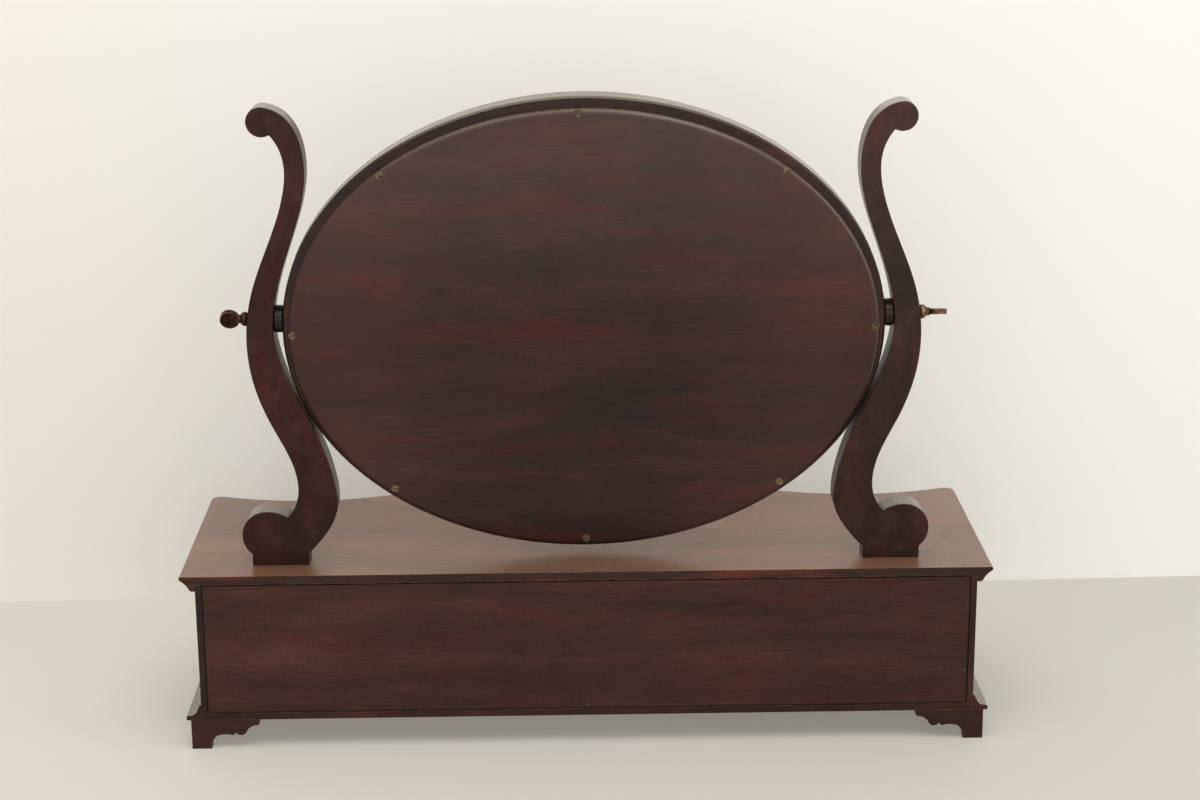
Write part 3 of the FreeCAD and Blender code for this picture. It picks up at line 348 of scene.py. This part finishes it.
def wood(name, grain, tones, seed, gloss, band=1.0, stripe=0.16, fine=1.0, red=None,
         fibre_share=0.34, pore=0.3, swell_share=0.10, top_tones=None, up=(0.40, 0.92), mottle=0.30,
         height_sheen=None, flank=None, bloom=0.0, edge=None, edge_amount=0.5, speck_share=0.0, ends=None,
         joint=None, shine=0.20, polish=0.0, rim_polish=0.0, coat_rough=0.27, sheen=0.0):
    """Old polished timber with its grain along the named axis.

    band, stripe, fine, red, fibre_share, pore, swell_share: the pattern of the grain
    top_tones, up: the tones of faces that look up, and how far up they look (pale dusty tones
    there are dust and a painted sheen)
    mottle, veil, flank, bloom: dark patches, a pale painted sheen that grows with the height, a
    redder tone that grows away from the middle, cloudiness
    edge, edge_amount, speck_share: worn arrises, on the back board and back rail also a painted
    highlight, and small pale specks
    ends, joint: a tint of the end grain, and the outline of a dark joint line
    gloss, shine, polish, rim_polish, coat_rough, sheen: the roughness, the reflection, the polish of
    top faces and of the rim, and the glow of dust
    """
    g = Graph(name)
    shift = (seed * 1.37, seed * 2.11, seed * 0.73)
    fibre = g.noise(g.place(along(grain, FIBRE), shift), 4.0, 0.75)
    pores = g.spread(g.noise(g.place(along(grain, PORES), shift), 2.0, 0.5), 0.60, 0.72)
    patches = g.noise(g.place(even(PATCHES), shift), 5.0, 0.6)
    colour = timber_colour(g, grain, tones, shift, band, stripe, fine, top_tones, up, red, fibre,
                           fibre_share)
    colour = g.mix(g.math("MULTIPLY", pores, pore), colour, darker(tones[0], 0.35))
    colour = timber_age(g, colour, tones[0], shift, patches, mottle, height_sheen, flank, bloom, edge,
                        edge_amount, speck_share)
    if ends is not None:
        colour = g.mix(g.end_grain(), colour, ends, "MULTIPLY")
    if joint is not None:
        colour = g.mix(g.math("MULTIPLY", g.border(*joint), 0.8), colour, BLACK_TONES[0])
    rough = g.math("ADD", g.spread(patches, 0.3, 0.7, gloss - 0.05, gloss + 0.07),
                   g.math("MULTIPLY", pores, 0.12))
    height = g.math("SUBTRACT", g.math("MULTIPLY", fibre, 0.55), g.math("MULTIPLY", pores, 0.9))
    swell = g.noise(g.place(along(grain, SWELL), shift), 2.0, 0.5)
    normal = g.bump(swell, swell_share, 0.002, g.bump(height, 0.30, 0.0003))
    coat = g.math("MULTIPLY", g.facing_up(), polish) if polish else 0.0
    if rim_polish:
        coat = g.math("MAXIMUM", coat, g.math("MULTIPLY", g.rim(), rim_polish))
    g.finish(Base_Color=colour, Roughness=rough, Normal=normal, Specular_IOR_Level=shine,
             Coat_Weight=coat, Coat_Roughness=coat_rough, Coat_IOR=COAT_IOR,
             Sheen_Weight=sheen, Sheen_Roughness=SHEEN_ROUGHNESS, Sheen_Tint=DUST_GLOW)
    return g.material


def metal(name, bright, dull, rough, seed, rim=None):
    """Aged metal: tarnish in patches, rubbed bright at the rims."""
    g = Graph(name)
    cloud = g.noise(g.place(even(160.0), (seed, seed * 2, seed * 3)), 5.0, 0.65)
    fine = g.noise(g.place(even(1400.0), (seed, 0, 0)), 2.0, 0.5)
    colour = g.mix(g.spread(cloud, 0.38, 0.64), dull, bright)
    if rim is not None:
        wear = g.math("MULTIPLY", g.edges(0.0009, 0.01, 0.22), g.spread(cloud, 0.30, 0.55, 0.4, 1.0))
        colour = g.mix(wear, colour, rim)
    roughness = g.spread(cloud, 0.3, 0.7, rough + 0.15, rough)
    height = g.math("ADD", cloud, g.math("MULTIPLY", fine, 0.3))
    g.finish(Base_Color=colour, Metallic=1.0, Roughness=roughness,
             Normal=g.bump(height, 0.25, 0.0003))
    return g.material


def glass_silver(name):
    """The silvered glass: bright, with a faint cloudiness and old spots."""
    g = Graph(name)
    cloud = g.noise(g.place(even(30.0)), 5.0, 0.6)
    spots = g.noise(g.place(even(240.0)), 3.0, 0.6)
    spot = g.math("MULTIPLY", g.spread(spots, 0.66, 0.74), g.spread(cloud, 0.52, 0.66))
    colour = g.mix(spot, (0.86, 0.87, 0.87), (0.22, 0.20, 0.18))
    g.finish(Base_Color=colour, Metallic=1.0, Roughness=g.spread(cloud, 0.4, 0.7, 0.02, 0.05))
    return g.material


def assign(material, *names):
    """The material on every slot of the named nodes."""
    for name in names:
        slots = nodes[name].data.materials
        slots.clear()
        slots.append(material)


PANEL_JOINT_WIDTH = 0.0015

# What sets each timber apart: its grain's axis, its tones, the seed of its pattern, its roughness.
BACK_BOARD = dict(
    grain="x", tones=BOARD_TONES, seed=1.0, gloss=0.40, band=1.3, stripe=0.13, fine=1.6,
    red=STREAK_RED, fibre_share=0.46, pore=0.35, top_tones=DUST_AND_SHEEN_TONES, up=(0.55, 0.95), mottle=0.20,
    # A painted sheen that grows towards the top of the board.
    height_sheen=(0.36, 0.59, 0.14), flank=(0.06, 0.22, 0.165), edge=WEAR_AND_HIGHLIGHT, edge_amount=0.30,
    speck_share=0.012, shine=0.24, polish=0.5, rim_polish=0.75)
RING = dict(
    grain="x", tones=BOARD_TONES, seed=2.0, gloss=0.27, top_tones=DUST_AND_SHEEN_TONES, edge=WEAR_AND_HIGHLIGHT,
    edge_amount=0.25, shine=0.30, polish=0.7)
TOP_BOARD = dict(
    grain="x", tones=EDGE_TONES, seed=3.0, gloss=0.23, band=1.2, red=TOP_RED, fibre_share=0.30,
    swell_share=0.04, top_tones=TOP_TONES, edge=WORN_TOP, edge_amount=0.8, polish=0.54,
    coat_rough=0.29, sheen=0.52)
BACK_PANEL = dict(
    grain="x", tones=PANEL_TONES, seed=4.0, gloss=0.40, band=1.4, fine=1.3, red=STREAK_RED,
    fibre_share=0.36, edge=WEAR_AND_HIGHLIGHT, edge_amount=0.4, speck_share=0.012,
    joint=(*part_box("back_panel"), PANEL_JOINT_WIDTH))
STANDARD = dict(
    grain="z", gloss=0.29, band=0.5, stripe=0.12, red=STREAK_RED, fibre_share=0.20,
    top_tones=DUST_AND_SHEEN_TONES, mottle=0.40, bloom=0.07, edge=WEAR_AND_HIGHLIGHT, edge_amount=0.6, shine=0.17,
    polish=0.7)
CASE = dict(tones=CASE_TONES, red=STREAK_RED, edge=WEAR_AND_HIGHLIGHT)
SIDE = dict(CASE, grain="y", gloss=0.34, band=1.2)
MOULDING = dict(CASE, grain="y", gloss=0.30, band=1.2, top_tones=DUST_AND_SHEEN_TONES, up=(0.25, 0.75),
                polish=1.0)
BRACKET = dict(CASE, grain="x", gloss=0.34, band=1.2)
FRONT_TRIM = dict(CASE, grain="x", seed=11.0, gloss=0.32)
# The back rail's arrises carry a painted highlight as well as wear.
BACK_TRIM = dict(FRONT_TRIM, seed=17.0, edge=RAIL_WEAR_AND_HIGHLIGHT, edge_amount=1.0)
DRAWER_FRONT = dict(
    grain="x", tones=DRAWER_TONES, gloss=0.26, band=2.0, red=DRAWER_RED, edge=WEAR_AND_HIGHLIGHT, edge_amount=0.4,
    shine=0.5)
LINING = dict(tones=LINING_TONES, gloss=0.55, pore=0.35)
INSIDE = dict(tones=INSIDE_TONES, gloss=0.6)
SPACER = dict(grain="y", gloss=0.24, pore=0.2, shine=0.24)
# The left standard is painted paler towards its top, a painted sheen; the right one is not.
STANDARD_HEIGHT_SHEEN = {"left": (0.22, 0.42, 0.05), "right": None}
SIDE_ENDS = {"left": None, "right": END_GRAIN}


def dress():
    """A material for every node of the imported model."""
    assign(wood("wood_back_board", **BACK_BOARD), "back_board")
    assign(wood("wood_ring", **RING), "mirror_frame")
    assign(wood("wood_top", **TOP_BOARD), "top_board")
    assign(wood("wood_panel", **BACK_PANEL), "back_panel")
    for side, seed in (("left", 5.0), ("right", 8.0)):
        assign(wood(f"wood_standard_{side}", tones=STANDARD_TONES[side], seed=seed,
                    height_sheen=STANDARD_HEIGHT_SHEEN[side], **STANDARD), f"standard_{side}")
        assign(wood(f"wood_side_{side}", seed=seed + 1.0, ends=SIDE_ENDS[side], **SIDE),
               f"side_panel_{side}", f"divider_{side}")
        assign(wood(f"wood_moulding_{side}", seed=seed + 1.5, **MOULDING),
               f"cornice_{side}", f"base_moulding_{side}", f"side_bracket_rear_{side}",
               f"side_bracket_front_{side}")
        assign(wood(f"wood_bracket_{side}", seed=seed + 2.0, **BRACKET),
               f"rear_bracket_{side}", f"front_bracket_{side}")
    assign(wood("wood_front_trim", **FRONT_TRIM), "cornice_front", "base_moulding_front", "top_rail")
    assign(wood("wood_back_trim", **BACK_TRIM), "base_rail_back")
    for index, bay in enumerate(("left", "centre", "right")):
        assign(wood(f"wood_drawer_{bay}", seed=12.0 + index * 2.0, **DRAWER_FRONT),
               f"{bay}_drawer_front")
        assign(wood(f"wood_lining_{bay}", grain="y", seed=20.0 + index, **LINING),
               f"{bay}_drawer_side_left", f"{bay}_drawer_side_right", f"{bay}_drawer_bottom")
        assign(wood(f"wood_drawer_back_{bay}", grain="x", seed=24.0 + index, **LINING),
               f"{bay}_drawer_back")
    assign(wood("wood_inside", grain="x", seed=30.0, **INSIDE),
           "bottom_board", "drawer_stops", "base_rail_front", "foot_blocks", "glass_wedges")
    assign(wood("wood_inside_ends", grain="y", seed=31.0, **INSIDE),
           "base_rail_left", "base_rail_right")
    assign(wood("wood_black", tones=BLACK_TONES, seed=33.0, **SPACER), "spacer_right")
    assign(wood("wood_black_red", tones=BLACK_RED_TONES, seed=34.0, **SPACER), "spacer_left")
    assign(metal("brass_thumb_right", (0.062, 0.027, 0.015), (0.022, 0.010, 0.007), 0.34, 3.0,
                 (0.66, 0.28, 0.10)), "thumb_screw_right")
    assign(metal("brass_thumb_left", (0.24, 0.135, 0.080), (0.075, 0.040, 0.026), 0.30, 4.0,
                 (0.70, 0.46, 0.30)), "thumb_screw_left")
    assign(metal("brass_screws", (0.26, 0.18, 0.10), (0.10, 0.07, 0.045), 0.45, 7.0),
           "back_board_screws", "pivot_bushes")
    assign(metal("brass_knobs", (0.42, 0.27, 0.11), (0.20, 0.12, 0.055), 0.28, 9.0,
                 (0.60, 0.42, 0.20)), "left_drawer_knobs", "centre_drawer_knobs", "right_drawer_knobs")
    assign(metal("iron", (0.09, 0.075, 0.065), (0.035, 0.028, 0.025), 0.5, 8.0),
           "back_nails", "standard_screws")
    assign(glass_silver("silvered_glass"), "mirror_glass")


# Stage and light

FLOOR_REACH = 3.0
# The floor is painted lighter towards +X and the wall towards -X: painted light that falls more on one
# side.
FLOOR_COLOURS = ((0.86, 0.825, 0.72), (0.765, 0.735, 0.63))
FLOOR_ROUGHNESS = 0.6
FLOOR_GLOW = 0.36
FLOOR_LEVEL = 0.72
WALL_PLACE = -0.273
WALL_SLOPE = 0.025
WALL_HEIGHT = 1.6
WALL_COLOURS = ((0.91, 0.885, 0.82), (0.97, 0.955, 0.91))
WALL_ROUGHNESS = 0.85
PAINT_CLOUD = (0.9, 0.9, 0.9)
AMBIENT_COLOUR = (0.388, 0.392, 0.40)
WALL_SIDE_COLOUR = (0.82, 0.795, 0.735)
SEEN_AMBIENT = 0.85
SEEN_COLOUR = (0.92, 0.91, 0.88)


def paint(g, colours):
    """Pale paint, lighter towards one side as painted light: one colour towards +X and one towards -X,
    with a faint cloudiness.
    """
    towards_right, towards_left = colours
    colour = g.mix(g.spread(g.axes("Object")["X"], -0.8, 0.8), towards_left, towards_right)
    cloud = g.noise(g.place(even(2.0)), 4.0, 0.5)
    return g.mix(g.spread(cloud, 0.3, 0.7, 0.0, 0.10), colour, PAINT_CLOUD, "MULTIPLY")


def sheet(name, corners, material):
    """A flat piece of the stage."""
    mesh = bpy.data.meshes.new(name)
    mesh.from_pydata(corners, [], [(0, 1, 2, 3)])
    mesh.materials.append(material)
    item = bpy.data.objects.new(name, mesh)
    bpy.context.collection.objects.link(item)


def floor_material():
    """Pale paint; a share of what the camera and reflections see is the paint's own plain colour."""
    g = Graph("floor_paint")
    colour = paint(g, FLOOR_COLOURS)
    lit = g.finish(Base_Color=colour, Roughness=FLOOR_ROUGHNESS)
    own = g.add("ShaderNodeEmission")
    own.inputs["Strength"].default_value = FLOOR_LEVEL
    g.links.new(colour, own.inputs["Color"])
    path = g.add("ShaderNodeLightPath").outputs
    seen = g.math("MAXIMUM", path["Is Camera Ray"], path["Is Glossy Ray"])
    seen = g.math("MAXIMUM", seen, path["Is Transmission Ray"])
    g.pick(g.math("MULTIPLY", seen, FLOOR_GLOW), lit, own.outputs[0])
    return g.material


def wall_material():
    """Pale paint, seen only from its own side, and open to the rays that light the object."""
    g = Graph("wall_paint")
    painted = g.finish(Base_Color=paint(g, WALL_COLOURS), Roughness=WALL_ROUGHNESS)
    clear = g.add("ShaderNodeBsdfTransparent")
    behind = g.add("ShaderNodeNewGeometry").outputs["Backfacing"]
    path = g.add("ShaderNodeLightPath").outputs
    open_to = g.math("MAXIMUM", behind, path["Is Shadow Ray"])
    open_to = g.math("MAXIMUM", open_to, path["Is Diffuse Ray"])
    g.pick(open_to, painted, clear.outputs[0])
    return g.material


def make_stage():
    """A pale floor with a pale wall just beyond the object."""
    reach = FLOOR_REACH
    sheet("floor", [(-reach, -reach, 0), (reach, -reach, 0), (reach, reach, 0), (-reach, reach, 0)],
          floor_material())
    left, right = WALL_PLACE - WALL_SLOPE * reach, WALL_PLACE + WALL_SLOPE * reach
    sheet("wall", [(reach, right, 0), (-reach, left, 0), (-reach, left, WALL_HEIGHT),
                   (reach, right, WALL_HEIGHT)], wall_material())


def area(name, place, target, size, power, colour):
    """A rectangular lamp that looks at the target."""
    data = bpy.data.lights.new(name, "AREA")
    data.shape = "RECTANGLE"
    data.size, data.size_y = size
    data.energy = power
    data.color = colour
    lamp = bpy.data.objects.new(name, data)
    lamp.location = place
    lamp.rotation_euler = (Vector(target) - Vector(place)).to_track_quat("-Z", "Y").to_euler()
    bpy.context.collection.objects.link(lamp)


def make_surround():
    """A pale world, brighter towards the wall; the camera and reflections see it evenly pale."""
    world = bpy.data.worlds.new("surround")
    world.use_nodes = True
    tree = world.node_tree
    source = tree.nodes.new("ShaderNodeTexCoord")
    axes = tree.nodes.new("ShaderNodeSeparateXYZ")
    tree.links.new(source.outputs["Generated"], axes.inputs[0])

    def fall(axis, low, high):
        """One up to the low value of an axis, and zero from the high one."""
        node = tree.nodes.new("ShaderNodeMapRange")
        node.interpolation_type = "SMOOTHSTEP"
        tree.links.new(axes.outputs[axis], node.inputs["Value"])
        for slot, number in (("From Min", low), ("From Max", high), ("To Min", 1.0), ("To Max", 0.0)):
            node.inputs[slot].default_value = number
        return node.outputs["Result"]

    def combine(kind, first, second):
        node = tree.nodes.new("ShaderNodeMath")
        node.operation = kind
        tree.links.new(first, node.inputs[0])
        tree.links.new(second, node.inputs[1])
        return node.outputs[0]

    tint = tree.nodes.new("ShaderNodeMix")
    tint.data_type = "RGBA"
    towards_wall = combine("MULTIPLY", fall("Y", -0.45, -0.05), fall("Z", 0.60, 0.95))
    tree.links.new(towards_wall, tint.inputs[0])
    tint.inputs[6].default_value = opaque(AMBIENT_COLOUR)
    tint.inputs[7].default_value = opaque(WALL_SIDE_COLOUR)
    given = tree.nodes["Background"]
    given.inputs[1].default_value = 1.0
    tree.links.new(tint.outputs[2], given.inputs[0])
    seen = tree.nodes.new("ShaderNodeBackground")
    seen.inputs[0].default_value = opaque(SEEN_COLOUR)
    seen.inputs[1].default_value = SEEN_AMBIENT
    path = tree.nodes.new("ShaderNodeLightPath").outputs
    direct = combine("MAXIMUM", path["Is Camera Ray"], path["Is Glossy Ray"])
    direct = combine("MAXIMUM", direct, path["Is Transmission Ray"])
    chooser = tree.nodes.new("ShaderNodeMixShader")
    tree.links.new(direct, chooser.inputs[0])
    tree.links.new(given.outputs[0], chooser.inputs[1])
    tree.links.new(seen.outputs[0], chooser.inputs[2])
    tree.links.new(chooser.outputs[0], tree.nodes["World Output"].inputs["Surface"])
    bpy.context.scene.world = world


def make_light():
    """Soft studio light: lamps behind the camera, overhead and at one side, and a pale surround."""
    make_surround()
    area("front", (0.1, 3.2, 0.85), (0, 0, 0.2), (3.0, 1.3), 20.0, (1.0, 0.985, 0.96))
    area("overhead", (0.1, 0.35, 2.0), (0.1, 0.05, 0.2), (2.6, 1.4), 13.0, (1.0, 0.975, 0.93))
    area("above", (0.15, 0.85, 1.5), (0.05, 0.0, 0.5), (1.4, 0.7), 7.0, (1.0, 0.98, 0.95))
    area("side", (-1.9, 0.75, 1.0), (-0.2, 0.0, 0.4), (0.6, 1.2), 7.0, (0.97, 0.985, 1.0))


bpy.context.scene.view_settings.view_transform = "Standard"
make_camera()
dress()
make_stage()
make_light()
